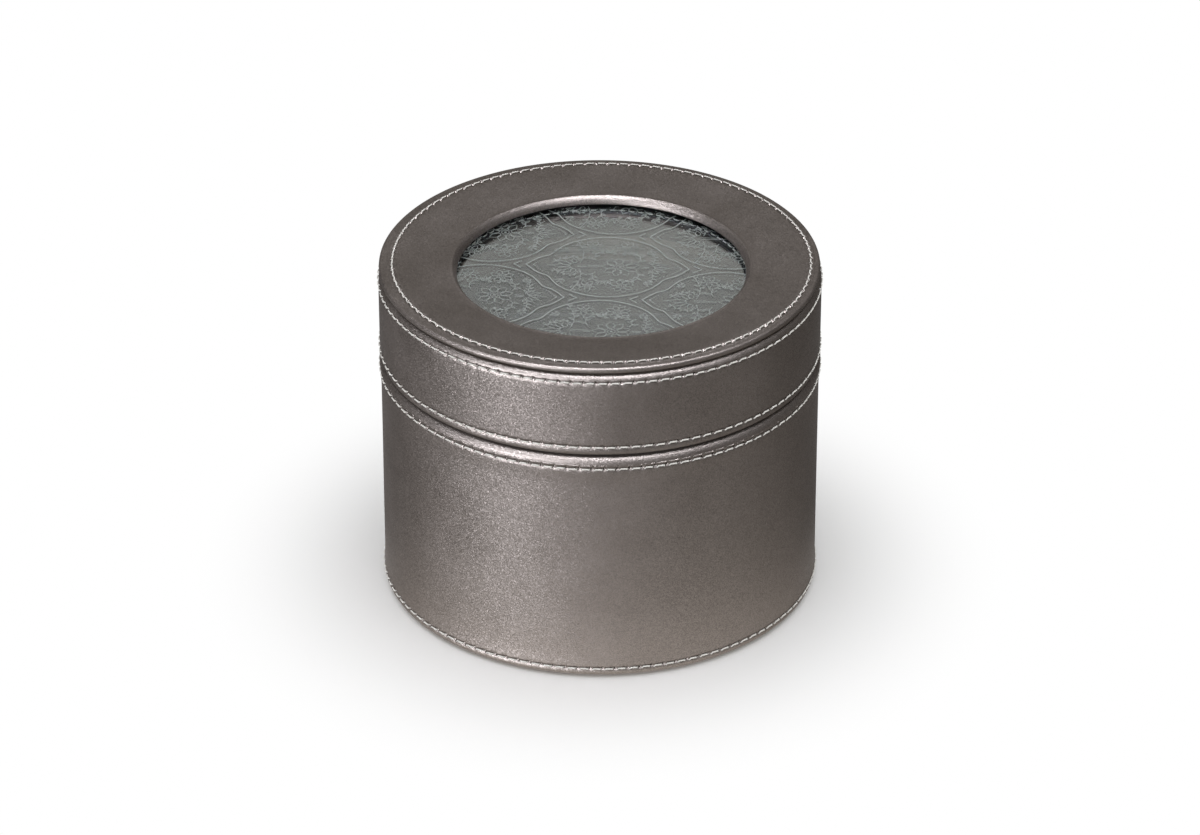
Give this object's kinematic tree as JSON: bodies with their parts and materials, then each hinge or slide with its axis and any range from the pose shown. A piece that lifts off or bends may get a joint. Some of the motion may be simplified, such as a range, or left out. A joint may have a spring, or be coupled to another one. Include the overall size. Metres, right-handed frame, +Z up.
{
  "type": "round jewelry box",
  "caption": "Round leatherette jewelry box with a hinged, stitched lid, a patterned glass window and a lift-out tray with ring rolls.",
  "frame": {"origin": "middle of the felt underside, on the surface that the box rests on", "axes": "+Z up; the front faces -Y and the hinge is at the back, on the +Y side"},
  "size_m": [0.141, 0.1441, 0.1122],
  "materials": {
    "leatherette": "satin metallic taupe",
    "board": "grey-brown fibreboard",
    "suede": "black suede",
    "felt": "black felt",
    "ribbon": "black grosgrain ribbon",
    "window_glass": "clear with a pale print",
    "glass_print": "pale grey-green fired print",
    "hinge_metal": "satin pewter",
    "thread": "cream thread"
  },
  "bodies": {
    "base": {"base_wall_cover": "leatherette", "base_wall_board": "board", "base_wall_lining": "suede", "base_floor_board": "board", "base_floor_pad": "suede", "tray_support_collar": "suede", "underside_felt": "felt", "hinge_leaf_base": "hinge_metal", "hinge_pin": "hinge_metal", "base_screw_left": "hinge_metal", "base_screw_middle": "hinge_metal", "base_screw_right": "hinge_metal"},
    "lid": {"top_ring_cover": "leatherette", "top_ring_board": "board", "lid_top_board": "leatherette", "lid_wall_cover": "leatherette", "lid_wall_board": "board", "lid_wall_lining": "suede", "window_glass": "window_glass", "glass_retainer": "suede", "hinge_leaf_lid": "hinge_metal", "lid_screw_left": "hinge_metal", "lid_screw_middle": "hinge_metal", "lid_screw_right": "hinge_metal"},
    "tray": {"tray_wall": "suede", "tray_base": "suede", "tray_divider_front": "suede", "tray_divider_rear": "suede", "tray_divider_left": "suede", "tray_divider_right": "suede", "ring_roll_1": "suede", "ring_roll_2": "suede", "ring_roll_3": "suede", "ring_roll_4": "suede", "ring_roll_5": "suede", "pull_tab_left": "ribbon", "pull_tab_right": "ribbon"}
  },
  "joints": [
    {"name": "lid_hinge", "type": "hinge", "parent": "base", "child": "lid", "pos_m": [0, 0.072, 0.0809], "axis": [-1, 0, 0], "range_deg": [0, 95]},
    {"name": "tray_lift", "type": "slide", "parent": "base", "child": "tray", "axis": [0, 0, 1], "range_m": [0, 0.021]}
  ]
}
